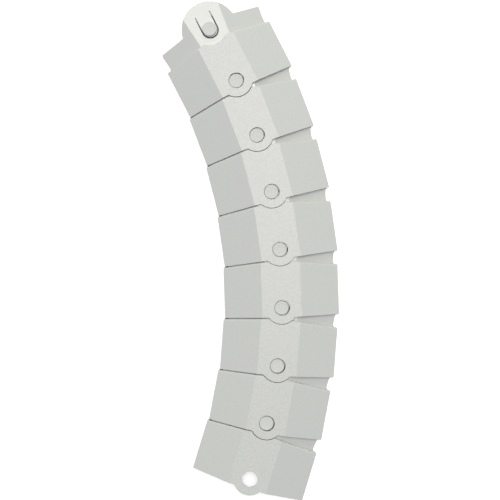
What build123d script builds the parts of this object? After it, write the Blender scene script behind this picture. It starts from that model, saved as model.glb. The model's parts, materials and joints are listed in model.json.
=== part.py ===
from build123d import *
import math
import os

# A bendable cable cover for floors: a chain of identical moulded links, in millimetres.
# A link's own frame has its stud on the Z axis, the floor at z = 0 and its hole on the -Y side.

# The chain, as it lies: each joint is turned to its stop, all the same way
LINK_COUNT = 8
PITCH = 41.8  # from a link's stud to its hole
BEND = 6.29  # degrees that a joint turns to either side of straight
FIRST_HEADING = 27.1  # degrees that the first link is turned from +Y, anticlockwise from above

# Shell of a link: a flat crown, two flanks and an upright foot along each long side
WIDTH = 83.0
HEIGHT = 14.0
FLAT_WIDTH = 28.2
FOOT_HEIGHT = 2.4
FOOT_WALL = 1.5
WALL = 1.8
LOWER_EDGE = 6.7  # from the hole's centre to the straight lower edge
NOSE_RADIUS = 11.5
HOLE_RADIUS = 5.55
CORNER_RADIUS = 1.3
JUNCTION_RADIUS = 0.8  # where the nose and the notch meet the straight edges
EDGE_GAP = 0.85  # between neighbouring shells when a joint is at its stop
NOSE_GAP = 0.5  # between a nose and the notch around it

# Lower layer: the tab and two fan-shaped wings that slip under the link before
TAB_RADIUS = 20.4
TAB_FLAT_WIDTH = 24.8  # between the flanks, level with the stud
LAYER_WALL = 1.7
LAYER_GAP = 1.1  # from the shell's ceiling down to the tab's flat
WING_CHAMFER = 0.8
WING_CREST = 5.7  # where the two wings' upper edges would meet, beyond the stud
WING_FOOT_GAP = 0.4  # between a wing's outer corner and the foot beside it
WING_ROOF_GAP = 0.4  # between a wing's outer edge and the shell above it
STEP_WALL = 2.0  # the wall that joins the two layers

# Snap tongue and its stud
STUD_GAP = 0.48  # between stud and hole, all round
STUD_SINK = 0.4  # from the shell's flat down to the stud's top
STUD_CHAMFER = 0.4
STUD_WALL = 1.6  # around and above the square core in the stud
TONGUE_SHOULDER = 0.2  # the tongue's edge beyond the stud
TONGUE_ROOT = 11.95  # from the stud's centre to the line where the tongue bends
TONGUE_OVERHANG = 0.45  # from the stud's centre to the centre of the tongue's round end
SLOT = 0.85

# Seat rails under the crown, which ride on the tab
RAIL_PLACE = 8.2  # from the centre line to a rail's middle
RAIL_WALL = 1.4
RAIL_INSET = 1.5  # from the nose's edge to the rails' ends
RAIL_GAP = 0.25

# Ribs that carry the flanks
RIB_WALL = 1.4
RIB_CLEARANCE = 0.9  # from the sweep of the tab and wings to the ribs
CROSS_RIB_COUNT = 3
CROWN_RIB_DEPTH = 2.2

# What follows from the sizes above
HALF_WIDTH = WIDTH / 2
FLAT_HALF = FLAT_WIDTH / 2
FLANK_RUN = HALF_WIDTH - FLAT_HALF
FLANK_SLOPE = math.atan2(HEIGHT - FOOT_HEIGHT, FLANK_RUN)
BEND_TAN = math.tan(math.radians(BEND))
BEND_COS = math.cos(math.radians(BEND))
BEND_SIN = math.sin(math.radians(BEND))
UPPER_EDGE = (LOWER_EDGE + EDGE_GAP) / BEND_COS
NOTCH_RADIUS = NOSE_RADIUS + NOSE_GAP
STUD_RADIUS = HOLE_RADIUS - STUD_GAP
STUD_TOP = HEIGHT - STUD_SINK
TONGUE_HALF = STUD_RADIUS + TONGUE_SHOULDER
TAB_TOP = HEIGHT - WALL - LAYER_GAP
TAB_UNDERSIDE = TAB_TOP - LAYER_WALL
CROWN_RIB_PLACE = (-NOTCH_RADIUS - STEP_WALL - PITCH + TAB_RADIUS) / 2
REACH = 2 * (PITCH + WIDTH)  # longer than a link in every direction


def flank_height(x, drop):
    """Height of a shell's flank at x, measured square to it and drop below its outer face."""
    return HEIGHT - (x - FLAT_HALF) * math.tan(FLANK_SLOPE) - drop / math.cos(FLANK_SLOPE)


# The wing's outer corner lies just inside the foot and the flank of the link before
WING_CORNER_X = HALF_WIDTH - FOOT_WALL - WING_FOOT_GAP
WING_CORNER_Y = WING_CREST - WING_CORNER_X * BEND_TAN
WING_EDGE = flank_height(WING_CORNER_X, WALL) - WING_ROOF_GAP
FAN_INNER = TAB_FLAT_WIDTH / 2 * BEND_COS
FAN_OUTER = WING_CORNER_X * BEND_COS - WING_CORNER_Y * BEND_SIN
FAN_SLOPE = math.atan2(TAB_TOP - WING_EDGE, FAN_OUTER - FAN_INNER)


def bar_along_y(section):
    """A long bar with the given section, a list of (x, z) points."""
    face = make_face(Plane.XZ * Polyline(*section, close=True))
    return extrude(face, amount=REACH, both=True)


def upright(plan, bottom=-1.0, top=HEIGHT + 1):
    """A flat plan raised to a solid between two heights."""
    return extrude(Pos(0, 0, bottom) * plan, amount=top - bottom)


def roof(drop, half_width, bottom):
    """Everything under the shell's faces moved in by drop, out to half_width on each side."""
    crown = HEIGHT - drop
    crown_half = FLAT_HALF - drop * math.tan(FLANK_SLOPE / 2)
    eave = flank_height(half_width, drop)
    right = [(half_width, bottom), (half_width, eave), (crown_half, crown)]
    left = [(-x, z) for x, z in reversed(right)]
    return bar_along_y(right + left)


def fan_roof(drop, bottom):
    """Everything under the lower layer's fanned faces moved in by drop."""
    crown = TAB_TOP - drop
    ridge = FAN_INNER - drop * math.tan(FAN_SLOPE / 2)
    eave = ridge + (crown - bottom) / math.tan(FAN_SLOPE)
    section = [(-REACH, bottom), (eave, bottom), (ridge, crown), (-REACH, crown)]
    right = Rot(0, 0, -BEND) * bar_along_y(section)
    return right & mirror(right, about=Plane.YZ)


def below_vee(distance):
    """The plan below a shallow V that crosses the link's centre line at -distance."""
    outer = -distance - REACH * BEND_TAN
    points = [(0, -distance), (REACH, outer), (REACH, -2 * REACH), (-REACH, -2 * REACH), (-REACH, outer)]
    return make_face(Polyline(*points, close=True))


def beyond(x):
    """Picks a plan's corners that lie at least this far from the centre line."""
    return lambda corner: abs(corner.X) >= x


def shell_plan():
    """The shell from above: straight lower edge with a nose, V shaped upper edge with a notch."""
    lower = -PITCH - LOWER_EDGE
    upper_corner = -UPPER_EDGE - HALF_WIDTH * BEND_TAN
    right = [(HALF_WIDTH, lower), (HALF_WIDTH, upper_corner)]
    left = [(-x, y) for x, y in reversed(right)]
    plan = make_face(Polyline(*right, (0, -UPPER_EDGE), *left, close=True))
    plan = fillet(plan.vertices().filter_by(beyond(FLAT_HALF)), CORNER_RADIUS)
    plan = plan + Pos(0, -PITCH) * Circle(NOSE_RADIUS) - Circle(NOTCH_RADIUS)
    junctions = plan.vertices().filter_by(lambda corner: 1 < abs(corner.X) < FLAT_HALF)
    return fillet(junctions, JUNCTION_RADIUS)


def step_plan(shell):
    """The strip along the shell's upper edge that comes down to the lower layer."""
    strip = shell - below_vee(UPPER_EDGE + STEP_WALL / BEND_COS)
    return strip + (shell & Circle(NOTCH_RADIUS + STEP_WALL))


def layer_plan():
    """The lower layer from above, down to the middle of the step wall."""
    end = UPPER_EDGE + STEP_WALL / 2
    side = FAN_OUTER / BEND_COS
    root_x = (side - end * BEND_TAN) / (1 + BEND_TAN**2)
    right = [(root_x, -end - root_x * BEND_TAN), (WING_CORNER_X, WING_CORNER_Y)]
    left = [(-x, y) for x, y in reversed(right)]
    wings = make_face(Polyline(*right, (0, WING_CREST), *left, (0, -end), close=True))
    upper_corners = wings.vertices().filter_by(lambda corner: corner.Y > WING_CORNER_Y - 0.1)
    wings = chamfer(upper_corners.filter_by(beyond(WING_CORNER_X / 2)), WING_CHAMFER)
    tab = Circle(TAB_RADIUS) - below_vee(end)
    return wings + tab + Circle(NOTCH_RADIUS + STEP_WALL / 2)


def tongue_plan(grow):
    """The snap tongue from above, grown by the slot's width for its opening."""
    half = TONGUE_HALF + grow
    straight = TONGUE_ROOT + TONGUE_OVERHANG
    blade = Pos(0, TONGUE_ROOT - straight / 2) * Rectangle(2 * half, straight)
    return blade + Pos(0, -TONGUE_OVERHANG) * Circle(half)


def rib_plan():
    """Two long ribs beside the cable channel, and short ones from them to the feet."""
    start = -UPPER_EDGE - STEP_WALL
    sweep = WING_CORNER_X * BEND_SIN + WING_CORNER_Y * BEND_COS
    end = -PITCH + sweep + RIB_CLEARANCE
    inner = TAB_RADIUS + RIB_CLEARANCE
    outer = HALF_WIDTH - FOOT_WALL / 2
    first = start - outer * BEND_TAN
    step = (first - end - RIB_WALL) / CROSS_RIB_COUNT
    plan = Sketch()
    for side in (-1, 1):
        long_start = start - inner * BEND_TAN + STEP_WALL / 2
        long_rib = Rectangle(RIB_WALL, long_start - end)
        plan += Pos(side * (inner + RIB_WALL / 2), (long_start + end) / 2) * long_rib
        for index in range(CROSS_RIB_COUNT):
            place = end + RIB_WALL / 2 + index * step
            plan += Pos(side * (inner + outer) / 2, place) * Rectangle(outer - inner, RIB_WALL)
    return plan


def crown_rib():
    """A low rib across the ceiling, between the step wall and the sweep of the tab."""
    length = 2 * (TAB_RADIUS + RIB_CLEARANCE) + RIB_WALL
    plan = Pos(0, CROWN_RIB_PLACE) * Rectangle(length, RIB_WALL)
    return upright(plan, bottom=HEIGHT - WALL - CROWN_RIB_DEPTH) & roof(WALL / 2, HALF_WIDTH, -1)


def seat_rails():
    """Two low ribs under the crown, from its cross rib to the nose, that ride on the next link's tab."""
    reach = NOSE_RADIUS - RAIL_INSET
    end = -PITCH - math.sqrt(reach**2 - (RAIL_PLACE + RAIL_WALL / 2) ** 2)
    rail = Rectangle(RAIL_WALL, CROWN_RIB_PLACE - end)
    place = (CROWN_RIB_PLACE + end) / 2
    plan = Pos(-RAIL_PLACE, place) * rail + Pos(RAIL_PLACE, place) * rail
    return upright(plan, bottom=TAB_TOP + RAIL_GAP, top=HEIGHT - WALL / 2)


def link_shell():
    """One moulded link without its snap tongue."""
    plan = shell_plan()
    cavity = roof(WALL, HALF_WIDTH - FOOT_WALL, -2) - upright(step_plan(plan), bottom=-3)
    shell = (upright(plan, bottom=0) & roof(0, HALF_WIDTH + 1, -1)) - cavity
    layer = upright(layer_plan(), bottom=0) & fan_roof(0, -1)
    body = shell + layer - fan_roof(LAYER_WALL, -2)
    ribs = upright(rib_plan(), bottom=0) & roof(WALL / 2, HALF_WIDTH, -1)
    body = body + [ribs, crown_rib(), seat_rails()]
    body -= Pos(0, -PITCH) * upright(Circle(HOLE_RADIUS))
    return body - upright(tongue_plan(SLOT), bottom=TAB_UNDERSIDE - 1, top=TAB_TOP + 1)


def snap_tongue():
    """The springy tongue of a link with its stud, cored from below."""
    blade = upright(tongue_plan(0), bottom=TAB_UNDERSIDE, top=TAB_TOP)
    stud = upright(Circle(STUD_RADIUS), bottom=TAB_UNDERSIDE, top=STUD_TOP)
    stud = chamfer(stud.faces().sort_by(Axis.Z)[-1].edges(), STUD_CHAMFER)
    core_side = (STUD_RADIUS - STUD_WALL) * math.sqrt(2)
    core = upright(Rectangle(core_side, core_side), bottom=TAB_UNDERSIDE - 1, top=STUD_TOP - STUD_WALL)
    return blade + stud - core


def link_places():
    """Where each link's stud is and how far the link is turned, from the first link down the chain."""
    x, y, heading = 0.0, 0.0, FIRST_HEADING
    places = []
    for _ in range(LINK_COUNT):
        places.append((x, y, heading))
        x += PITCH * math.sin(math.radians(heading))
        y -= PITCH * math.cos(math.radians(heading))
        heading -= BEND
    return places


shell = link_shell()
tongue = snap_tongue()
places = link_places()
shells = [Pos(x, y, 0) * Rot(0, 0, heading) * shell for x, y, heading in places]
extent = Compound(children=[Compound(placed.solids()) for placed in shells]).bounding_box()
middle = Pos(-extent.center().X, -extent.center().Y, 0)

os.makedirs("parts", exist_ok=True)
for number, (x, y, heading) in enumerate(places, start=1):
    place = middle * Pos(x, y, 0) * Rot(0, 0, heading)
    export_step(place * shell, f"parts/link_{number}.step")
    export_step(place * tongue, f"parts/snap_tongue_{number}.step")
    stud = place.position
    print(f"link {number}: stud at {stud.X:.4f}, {stud.Y:.4f}, turned {heading:.3f} degrees")
print("size", extent.size)
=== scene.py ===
import json
import math

import bmesh
import bpy
from mathutils import Matrix, Vector


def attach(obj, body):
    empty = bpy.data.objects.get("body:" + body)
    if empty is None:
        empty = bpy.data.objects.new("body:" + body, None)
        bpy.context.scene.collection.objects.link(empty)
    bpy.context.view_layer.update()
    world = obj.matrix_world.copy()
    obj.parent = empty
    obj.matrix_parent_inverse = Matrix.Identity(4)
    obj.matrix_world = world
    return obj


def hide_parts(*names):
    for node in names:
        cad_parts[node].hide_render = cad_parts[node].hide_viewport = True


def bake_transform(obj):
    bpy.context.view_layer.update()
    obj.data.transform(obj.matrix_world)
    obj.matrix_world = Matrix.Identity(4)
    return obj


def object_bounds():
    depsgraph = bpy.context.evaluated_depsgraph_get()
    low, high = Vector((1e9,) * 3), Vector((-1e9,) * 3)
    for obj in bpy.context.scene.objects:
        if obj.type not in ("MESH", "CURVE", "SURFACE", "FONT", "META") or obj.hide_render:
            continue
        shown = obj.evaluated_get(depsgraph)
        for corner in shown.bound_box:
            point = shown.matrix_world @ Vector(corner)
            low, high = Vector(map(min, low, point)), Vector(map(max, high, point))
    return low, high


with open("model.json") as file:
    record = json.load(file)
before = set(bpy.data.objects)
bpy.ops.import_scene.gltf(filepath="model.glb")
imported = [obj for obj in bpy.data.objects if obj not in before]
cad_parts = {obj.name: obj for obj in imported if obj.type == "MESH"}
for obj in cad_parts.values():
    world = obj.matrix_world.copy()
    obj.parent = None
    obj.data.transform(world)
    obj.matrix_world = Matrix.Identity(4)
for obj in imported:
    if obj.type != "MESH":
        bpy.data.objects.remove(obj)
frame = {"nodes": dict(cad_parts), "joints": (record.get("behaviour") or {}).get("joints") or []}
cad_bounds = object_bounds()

MM = 0.001

# Sizes of a link that the dressing needs, in millimetres, in the link's own frame: its stud on the Z axis,
# the floor at z = 0 and its hole on the -Y side
HEIGHT = 14.0
PITCH = 41.8
HALF_WIDTH = 41.5
LOWER_EDGE = 6.7  # from the hole to the shell's straight lower edge
CORNER_RADIUS = 1.3
TIGHT_RADIUS = 0.5  # the same corners as the photograph shows them
FLAT_HALF = 14.1
FLANK_TAN = 11.6 / 27.4
BEND_TAN = math.tan(math.radians(6.29))
BEND_COS = math.cos(math.radians(6.29))
UPPER_EDGE = 7.596  # from the stud to the middle of the shell's upper edge
NOSE_RADIUS = 11.5
NOTCH_RADIUS = 12.0
HOLE_RADIUS = 5.55
TAB_RADIUS = 20.4
TAB_TOP = 11.1
STUD_RADIUS = 5.07
STUD_CHAMFER = 0.4
STUD_TOP = 13.6
TONGUE_HALF = 5.27
TONGUE_ROOT = 11.95  # from the stud to the line where the tongue bends
TONGUE_OVERHANG = 0.45
SLOT = 0.85
BEND_LENGTH = 6.0  # the stretch of the tongue that bends
BEND_PARTS = 8
STUD_SHIFT = (-0.20, -0.02)  # the snap's play lets stud and hole lie to either side of the joint's axis
HOLE_SHIFT = (0.18, 0.0)
STUD_DISH = 0.3  # how far the middle of the stud's top has sunk in
DISH_STEPS = 5
PATTERN = 4  # the link whose solids all the shells and tongues are made from
# Each circle of the plan: its centre on the Y axis and its radius
CIRCLES = [(0, NOTCH_RADIUS), (0, TAB_RADIUS), (0, STUD_RADIUS), (0, STUD_RADIUS - STUD_CHAMFER),
           (-TONGUE_OVERHANG, TONGUE_HALF), (-TONGUE_OVERHANG, TONGUE_HALF + SLOT),
           (-PITCH, HOLE_RADIUS), (-PITCH, NOSE_RADIUS)]

# Edges and circles, their lengths in millimetres
EDGE = 0.16
TONGUE_EDGE = 0.12
UPPER_BAND = 1.5  # the shell's upper edge is rounded over this width
UPPER_DROP = 0.75
UPPER_STEPS = 6
ROUNDED = math.radians(30)  # outer edges that turn by more are rounded
CRISP = math.cos(math.radians(19))  # faces that turn by less are shaded as one
ROLLED = math.cos(math.radians(50))  # the same for the narrow faces of a rounded edge
NARROW = 0.2  # width of the narrow faces
EDGE_STEPS = 3  # faces across a rounded edge
CHORD_CUTS = 3  # new points on each chord of a circle
SHORTEST_CHORD = 0.3
FLUSH = math.radians(0.3)  # faces that turn by less are joined into one

# Tolerances, in millimetres
WELD = 0.002
ON_ROOF = 0.003
ON_CIRCLE = 0.004
NEAR = 0.01
WELL_CLEAR = 0.1

# The camera, straight above the chain, as the photograph shows it
PHOTO_SIZE = 500
TOP_SCALE = 1398.0  # photo pixels per metre at the height of the flats
FOOT_SHRINK = 0.0205  # how much smaller the feet are drawn than the flats
AXIS_PIXEL = (277.5, 243.5)  # where the camera's axis meets the picture
JOINT_PIXEL = (236.14, 80.47)  # the first joint
SENSOR = 36.0

# Colours, linear
PLASTIC = (0.620, 0.628, 0.596)
# The plastics: name, brightness, lowest and highest roughness, gloss, size of the mottle, size and depth of
# the grain, these three in millimetres, and how far the colour goes up and down
GRAINED, SMOOTH, STUD, CROWN = range(4)
PLASTICS = [("grained_plastic", 1, (0.22, 0.36), 0.27, 1.4, 0.5, 0.01, 0.005),
            ("smooth_plastic", 1, (0.10, 0.16), 0.5, 6.0, 4.0, 0.01, 0),
            ("stud_plastic", 1.04, (0.8, 1.0), 0.5, 1.6, 1.2, 0.05, 0.08),
            ("crown_plastic", 1, (0.22, 0.36), 0.27, 2.2, 0.5, 0.01, 0.05)]
CROWN_DEPTH = 0.5  # the crown's faces lie no lower than this, in millimetres
STUD_BOTTOM = STUD_TOP - STUD_DISH - 0.03  # the faces of the stud's dished top all lie above this
FACING_UP = 0.9  # and their normals point up by more than this
TINT_SIZE = 0.7  # of the mottle's
NOISE_MIDDLE = (0.3, 0.7)  # the range that holds nearly all of a noise
NOISE_DETAIL = 2.0
GRAIN_DETAIL = 3.0

# The floor
FLOOR_HALF = 3.0  # half its size, in metres
FLOOR_ROUGHNESS = 0.9
FLOOR_GREY = 0.75  # its grey where it is open
FLOOR_GLOW = 0.52  # what it adds there for the camera and in reflections
FLOOR_PAINTED_SHADOW = 0.15  # painted shadow: the floor's grey where the object covers it
FLOOR_REACHES = (40.0, 11.5)  # how far above a place counts as open or not, in millimetres, far and near
NEAR_SHARE = 0.5  # the near openness counts by half in their sum
FLOOR_OPEN = (0.63, 0.70)  # the sums between which the floor goes from its painted shadow to open

# Light
WORLD = (0.305, 0.322, 0.384)
# Soft boxes, in metres: name, place, what it faces, size, and how bright it is
LIGHTS = [("key", (0.1, 0.8, 3.0), (0.1, 0.8, 0), (1.9, 2.2), (5.22, 5.08, 4.74)),
          ("core", (-0.04, 0.56, 2.95), (-0.04, 0.56, 0), (0.3, 0.3), (4.0, 3.9, 3.4)),
          ("back", (0.5, 3.2, 1.8), (0, 0, 0), (2.0, 1.0), (3.3, 3.4, 2.6))]


def link_frames():
    """For each link number, the matrix from its own frame to the whole object's."""
    frames = {}
    for joint in frame["joints"]:
        if joint["name"].startswith("tongue_press_"):
            number = int(joint["name"].rsplit("_", 1)[1])
            across = Vector(joint["axis"])
            turn = Matrix.Rotation(math.atan2(across.y, across.x), 4, "Z")
            stud = Vector(joint["pos_m"]) - turn @ Vector((0, TONGUE_ROOT * MM, 0))
            frames[number] = Matrix.Translation((stud.x, stud.y, 0)) @ turn
    return frames


# Pieces

def cad_copy(node, to_local):
    """A node's shape in millimetres in the link's own frame, welded, with its flat faces whole."""
    shape = bmesh.new()
    shape.from_mesh(frame["nodes"][node].data)
    shape.transform(Matrix.Scale(1 / MM, 4) @ to_local)
    bmesh.ops.remove_doubles(shape, verts=shape.verts, dist=WELD)
    bmesh.ops.dissolve_limit(shape, angle_limit=FLUSH, verts=shape.verts, edges=shape.edges)
    return shape


def on_circle(point, centre, radius):
    return abs(math.hypot(point.x, point.y - centre) - radius) < ON_CIRCLE


def round_circles(shape):
    """Divides the chords of the plan's circles and moves the new points out onto them."""
    for centre, radius in CIRCLES:
        chords = [edge for edge in shape.edges
                  if all(on_circle(vert.co, centre, radius) for vert in edge.verts)
                  and (edge.verts[0].co - edge.verts[1].co).xy.length > SHORTEST_CHORD]
        if not chords:
            continue
        made = bmesh.ops.subdivide_edges(shape, edges=chords, cuts=CHORD_CUTS, use_grid_fill=False)
        for vert in made["geom_inner"]:
            if isinstance(vert, bmesh.types.BMVert):
                away = Vector((vert.co.x, vert.co.y - centre)).normalized() * radius
                vert.co.x = away.x
                vert.co.y = away.y + centre


def roof_height(x):
    """The height of a link's outer face at x."""
    return HEIGHT - max(abs(x) - FLAT_HALF, 0) * FLANK_TAN


def corner_middle(radius, toward):
    """The middle of an outer corner's rounding: at the lower edge for -1, at the upper edge for 1."""
    x = HALF_WIDTH - radius
    if toward < 0:
        return Vector((x, -PITCH - LOWER_EDGE + radius))
    return Vector((x, -UPPER_EDGE - x * BEND_TAN - radius / BEND_COS))


def tighten_corners(shape):
    """Gives the shell's outer corners a smaller radius."""
    for toward in (-1, 1):
        middle = corner_middle(CORNER_RADIUS, toward)
        tight = corner_middle(TIGHT_RADIUS, toward)
        for vert in shape.verts:
            x, y, z = vert.co
            arm = Vector((abs(x), y)) - middle
            if arm.x > -NEAR and toward * arm.y > -NEAR and abs(arm.length - CORNER_RADIUS) < NEAR:
                place = tight + arm * (TIGHT_RADIUS / CORNER_RADIUS)
                if abs(z - roof_height(x)) < ON_ROOF:
                    z = roof_height(place.x)
                vert.co = (math.copysign(place.x, x), place.y, z)


def soften_upper_edge(shape):
    """Rounds the shell's V shaped upper edge down over a wide band, as it is moulded."""
    for side in (-1, 1):
        across = Vector((side * BEND_TAN, 1, 0)).normalized()
        for index in range(1, UPPER_STEPS + 1):
            faces = [face for face in shape.faces if side * face.calc_center_bounds().x > 0]
            edges = {edge for face in faces for edge in face.edges}
            verts = {vert for face in faces for vert in face.verts}
            back = UPPER_BAND * index / UPPER_STEPS
            bmesh.ops.bisect_plane(shape, geom=list(verts) + list(edges) + faces,
                                   plane_co=Vector((0, -UPPER_EDGE, 0)) - across * back, plane_no=across)
    for vert in shape.verts:
        if abs(vert.co.z - roof_height(vert.co.x)) < ON_ROOF:
            back = (-UPPER_EDGE - abs(vert.co.x) * BEND_TAN - vert.co.y) * BEND_COS
            if -NEAR < back < UPPER_BAND:
                vert.co.z -= UPPER_DROP * (1 - max(back, 0) / UPPER_BAND) ** 2


def is_root(edge):
    """Whether an edge lies on the line where tongue and link are moulded together."""
    return all(abs(vert.co.y - TONGUE_ROOT) < NEAR for vert in edge.verts)


def rounded(shape, width):
    """The shape with its outer edges rounded."""
    weight = shape.edges.layers.float.new("bevel_weight_edge")
    for edge in shape.edges:
        if edge.is_convex and edge.calc_face_angle() > ROUNDED and not is_root(edge):
            edge[weight] = 1
    mesh = bpy.data.meshes.new("raw")
    shape.to_mesh(mesh)
    shape.free()
    holder = bpy.data.objects.new("raw", mesh)
    bpy.context.scene.collection.objects.link(holder)
    bevel = holder.modifiers.new("bevel", "BEVEL")
    bevel.width = width
    bevel.segments = EDGE_STEPS
    bevel.limit_method = "WEIGHT"
    bevel.use_clamp_overlap = False
    graph = bpy.context.evaluated_depsgraph_get()
    result = bmesh.new()
    result.from_object(holder, graph)
    bpy.data.objects.remove(holder)
    bpy.data.meshes.remove(mesh)
    return result


def shade(mesh):
    """Keeps flat faces flat and lets round walls and rounded edges roll over smoothly."""
    around = [[] for _ in mesh.vertices]
    reach = []
    for face in mesh.polygons:
        corners = [mesh.vertices[index].co for index in face.vertices]
        border = sum((here - there).length for here, there in zip(corners, corners[1:] + corners[:1]))
        reach.append(ROLLED if 2 * face.area / border < NARROW * MM else CRISP)
        for index in face.vertices:
            around[index].append(face)
    normals = []
    for face in mesh.polygons:
        for index in face.vertices:
            near = [other for other in around[index] if other.normal.dot(face.normal) > reach[face.index]]
            normals.append(sum((other.normal * other.area for other in near), Vector()).normalized())
    mesh.normals_split_custom_set(normals)


def move_hole(shape):
    """Sets the hole to one side by the play that it leaves the stud."""
    for vert in shape.verts:
        if math.hypot(vert.co.x, vert.co.y + PITCH) < HOLE_RADIUS + 2 * EDGE:
            vert.co.x += HOLE_SHIFT[0]
            vert.co.y += HOLE_SHIFT[1]


def dish_stud(shape):
    """Sinks the middle of the stud's flat top a little, and sets the stud to one side."""
    top = max((face for face in shape.faces if face.calc_center_median().z > STUD_TOP - NEAR),
              key=lambda face: face.calc_area())
    reach = max(math.hypot(vert.co.x, vert.co.y) for vert in top.verts)
    for _ in range(DISH_STEPS):
        bmesh.ops.inset_individual(shape, faces=[top], thickness=reach / (DISH_STEPS + 1))
    for vert in shape.verts:
        away = math.hypot(vert.co.x, vert.co.y)
        if vert.co.z > STUD_TOP - NEAR and away < reach:
            vert.co.z -= STUD_DISH * (1 - (away / reach) ** 2)
    for vert in shape.verts:
        if vert.co.z > TAB_TOP + NEAR:
            vert.co.x += STUD_SHIFT[0]
            vert.co.y += STUD_SHIFT[1]


def finished(name, shape, materials, index_of):
    """The shape's mesh in metres, with a material for each face."""
    for face in shape.faces:
        face.smooth = True
        face.material_index = index_of(face)
    mesh = bpy.data.meshes.new(name)
    shape.to_mesh(mesh)
    shape.free()
    for material in materials:
        mesh.materials.append(material)
    mesh.transform(Matrix.Scale(MM, 4))
    return mesh


def link_face_material(face):
    """The grained flanks, the mottled crown, or the smooth layer that slips under the link before."""
    middle = face.calc_center_median()
    vee = -UPPER_EDGE - abs(middle.x) * BEND_TAN
    if middle.y > vee + WELL_CLEAR or math.hypot(middle.x, middle.y) < NOTCH_RADIUS - WELL_CLEAR:
        return SMOOTH
    return CROWN if middle.z > HEIGHT - CROWN_DEPTH else GRAINED


def tongue_face_material(face):
    """The stud's grained top, or the smooth rest."""
    middle = face.calc_center_median()
    return STUD if middle.z > STUD_BOTTOM and face.normal.z > FACING_UP else SMOOTH


def add_piece(name, mesh, matrix):
    """A piece with its own copy of the mesh, in its place and held inside the whole object's box."""
    placed = mesh.copy()
    placed.transform(matrix)
    low, high = cad_bounds
    for vert in placed.vertices:
        for axis in range(3):
            vert.co[axis] = min(max(vert.co[axis], low[axis]), high[axis])
    shade(placed)
    piece = bpy.data.objects.new(name, placed)
    bpy.context.scene.collection.objects.link(piece)
    return piece


# Materials

def noise(tree, place, size, detail=NOISE_DETAIL):
    """A noise whose patches are about size millimetres across."""
    node = tree.nodes.new("ShaderNodeTexNoise")
    node.inputs["Scale"].default_value = 1 / (size * MM)
    node.inputs["Detail"].default_value = detail
    tree.links.new(place, node.inputs["Vector"])
    return node.outputs["Fac"]


def ranged(tree, value, low, high, middle=NOISE_MIDDLE):
    """The value's middle range stretched from low to high."""
    node = tree.nodes.new("ShaderNodeMapRange")
    node.inputs["From Min"].default_value = middle[0]
    node.inputs["From Max"].default_value = middle[1]
    node.inputs["To Min"].default_value = low
    node.inputs["To Max"].default_value = high
    tree.links.new(value, node.inputs["Value"])
    return node.outputs["Result"]


def plastic(name, brightness, roughness, gloss, mottle, grain, depth, tint):
    """Moulded plastic, unevenly glossy, with a fine grain."""
    material = bpy.data.materials.new(name)
    material.use_nodes = True
    tree = material.node_tree
    shader = tree.nodes["Principled BSDF"]
    shader.inputs["Specular IOR Level"].default_value = gloss
    place = tree.nodes.new("ShaderNodeTexCoord").outputs["Object"]
    patches = noise(tree, place, mottle)
    tree.links.new(ranged(tree, patches, *roughness), shader.inputs["Roughness"])
    mix = tree.nodes.new("ShaderNodeMix")
    mix.data_type = "RGBA"
    for socket, change in (("A", 1 - tint), ("B", 1 + tint)):
        mix.inputs[socket].default_value = (*[part * brightness * change for part in PLASTIC], 1)
    tree.links.new(ranged(tree, noise(tree, place, mottle * TINT_SIZE), 0, 1), mix.inputs["Factor"])
    tree.links.new(mix.outputs["Result"], shader.inputs["Base Color"])
    bump = tree.nodes.new("ShaderNodeBump")
    bump.inputs["Strength"].default_value = 1.0
    bump.inputs["Distance"].default_value = depth * MM
    tree.links.new(noise(tree, place, grain, GRAIN_DETAIL), bump.inputs["Height"])
    tree.links.new(bump.outputs["Normal"], shader.inputs["Normal"])
    return material


def calculated(tree, operation, first, second):
    """The result of an operation on two values."""
    node = tree.nodes.new("ShaderNodeMath")
    node.operation = operation
    tree.links.new(first, node.inputs[0])
    tree.links.new(second, node.inputs[1])
    return node.outputs["Value"]


def add_floor():
    """A pale floor that the camera sees as white where it is open, with a painted shadow where the object
    covers it: there its grey darkens and its glow goes out.
    """
    mesh = bpy.data.meshes.new("floor")
    corners = [(x * FLOOR_HALF, y * FLOOR_HALF, 0) for x, y in ((-1, -1), (1, -1), (1, 1), (-1, 1))]
    mesh.from_pydata(corners, [], [(0, 1, 2, 3)])
    floor = bpy.data.objects.new("floor", mesh)
    bpy.context.scene.collection.objects.link(floor)
    material = bpy.data.materials.new("floor")
    material.use_nodes = True
    tree = material.node_tree
    far, near = [tree.nodes.new("ShaderNodeAmbientOcclusion") for _ in FLOOR_REACHES]
    for node, reach in zip((far, near), FLOOR_REACHES):
        node.inputs["Distance"].default_value = reach * MM
    openness = tree.nodes.new("ShaderNodeMath")
    openness.operation = "MULTIPLY_ADD"
    openness.inputs[1].default_value = NEAR_SHARE
    tree.links.new(near.outputs["AO"], openness.inputs[0])
    tree.links.new(far.outputs["AO"], openness.inputs[2])
    # painted shadow: the floor's grey falls to a dark grey where the object covers it
    grey_and_painted_shadow = ranged(tree, openness.outputs["Value"], FLOOR_PAINTED_SHADOW, FLOOR_GREY, FLOOR_OPEN)
    shine = ranged(tree, openness.outputs["Value"], 0, FLOOR_GLOW, FLOOR_OPEN)
    shader = tree.nodes["Principled BSDF"]
    shader.inputs["Roughness"].default_value = FLOOR_ROUGHNESS
    tree.links.new(grey_and_painted_shadow, shader.inputs["Base Color"])
    path = tree.nodes.new("ShaderNodeLightPath")
    seen = path.outputs["Is Camera Ray"]
    for kind in ("Is Glossy Ray", "Is Transmission Ray"):
        seen = calculated(tree, "MAXIMUM", seen, path.outputs[kind])
    glow = tree.nodes.new("ShaderNodeEmission")
    tree.links.new(calculated(tree, "MULTIPLY", shine, seen), glow.inputs["Strength"])
    total = tree.nodes.new("ShaderNodeAddShader")
    tree.links.new(shader.outputs["BSDF"], total.inputs[0])
    tree.links.new(glow.outputs["Emission"], total.inputs[1])
    tree.links.new(total.outputs["Shader"], tree.nodes["Material Output"].inputs["Surface"])
    mesh.materials.append(material)


# Camera and light

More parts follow.
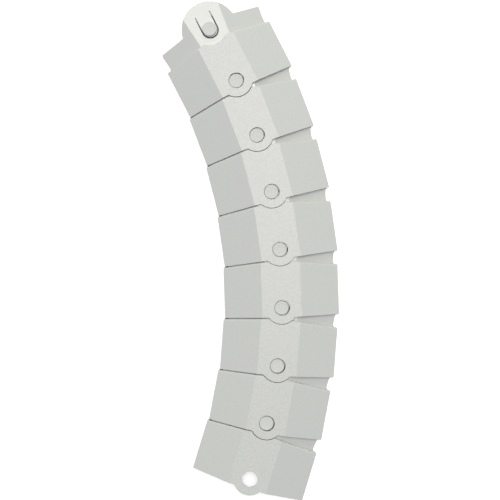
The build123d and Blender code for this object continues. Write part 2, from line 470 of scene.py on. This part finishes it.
def add_camera(frames):
    """Looks straight down, with the first joint and the camera's axis where the photograph has them."""
    top = HEIGHT * MM
    height = top / FOOT_SHRINK
    joint = frames[2].translation  # link 2's stud is the first joint
    axis_x = joint.x + (AXIS_PIXEL[0] - JOINT_PIXEL[0]) / TOP_SCALE
    axis_y = joint.y - (AXIS_PIXEL[1] - JOINT_PIXEL[1]) / TOP_SCALE
    data = bpy.data.cameras.new("camera")
    data.sensor_width = SENSOR
    data.lens = TOP_SCALE * (height - top) / PHOTO_SIZE * SENSOR
    data.shift_x = (PHOTO_SIZE / 2 - AXIS_PIXEL[0]) / PHOTO_SIZE
    data.shift_y = (AXIS_PIXEL[1] - PHOTO_SIZE / 2) / PHOTO_SIZE
    camera = bpy.data.objects.new("camera", data)
    camera.location = (axis_x, axis_y, height)
    bpy.context.scene.collection.objects.link(camera)
    bpy.context.scene.camera = camera


def add_light(name, location, target, size, radiance):
    """A soft box that shines as brightly as radiance, a colour where 1 is white."""
    data = bpy.data.lights.new(name, "AREA")
    data.shape = "RECTANGLE"
    data.size, data.size_y = size
    strength = max(radiance)
    data.color = [part / strength for part in radiance]
    data.energy = strength * math.pi * size[0] * size[1]
    light = bpy.data.objects.new(name, data)
    light.location = location
    aim = Vector(target) - Vector(location)
    light.rotation_euler = aim.to_track_quat("-Z", "Y").to_euler()
    bpy.context.scene.collection.objects.link(light)


frames = link_frames()
add_camera(frames)
materials = [plastic(*row) for row in PLASTICS]

to_pattern = frames[PATTERN].inverted()
link = cad_copy(f"link_{PATTERN}", to_pattern)
round_circles(link)
tighten_corners(link)
soften_upper_edge(link)
link = rounded(link, EDGE)
move_hole(link)
link_mesh = finished("link_shell", link, materials, link_face_material)

tongue = cad_copy(f"snap_tongue_{PATTERN}", to_pattern)
round_circles(tongue)
tongue = rounded(tongue, TONGUE_EDGE)
dish_stud(tongue)
for index in range(1, BEND_PARTS):
    cut = TONGUE_ROOT - BEND_LENGTH * index / BEND_PARTS
    bmesh.ops.bisect_plane(tongue, geom=tongue.verts[:] + tongue.edges[:] + tongue.faces[:],
                           plane_co=(0, cut, 0), plane_no=(0, 1, 0))
tongue_mesh = finished("tongue", tongue, materials, tongue_face_material)

for number, matrix in sorted(frames.items()):
    shell = add_piece(f"link_{number}_shell", link_mesh, matrix)
    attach(shell, f"link_{number}")
    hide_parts(f"link_{number}")
    spring = add_piece(f"snap_tongue_{number}_spring", tongue_mesh, matrix)
    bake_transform(spring)
    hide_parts(f"snap_tongue_{number}")

add_floor()
for row in LIGHTS:
    add_light(*row)

world = bpy.data.worlds.new("world")
bpy.context.scene.world = world
world.use_nodes = True
world.node_tree.nodes["Background"].inputs["Color"].default_value = (*WORLD, 1)
world.node_tree.nodes["Background"].inputs["Strength"].default_value = 1

bpy.context.scene.view_settings.view_transform = "Standard"
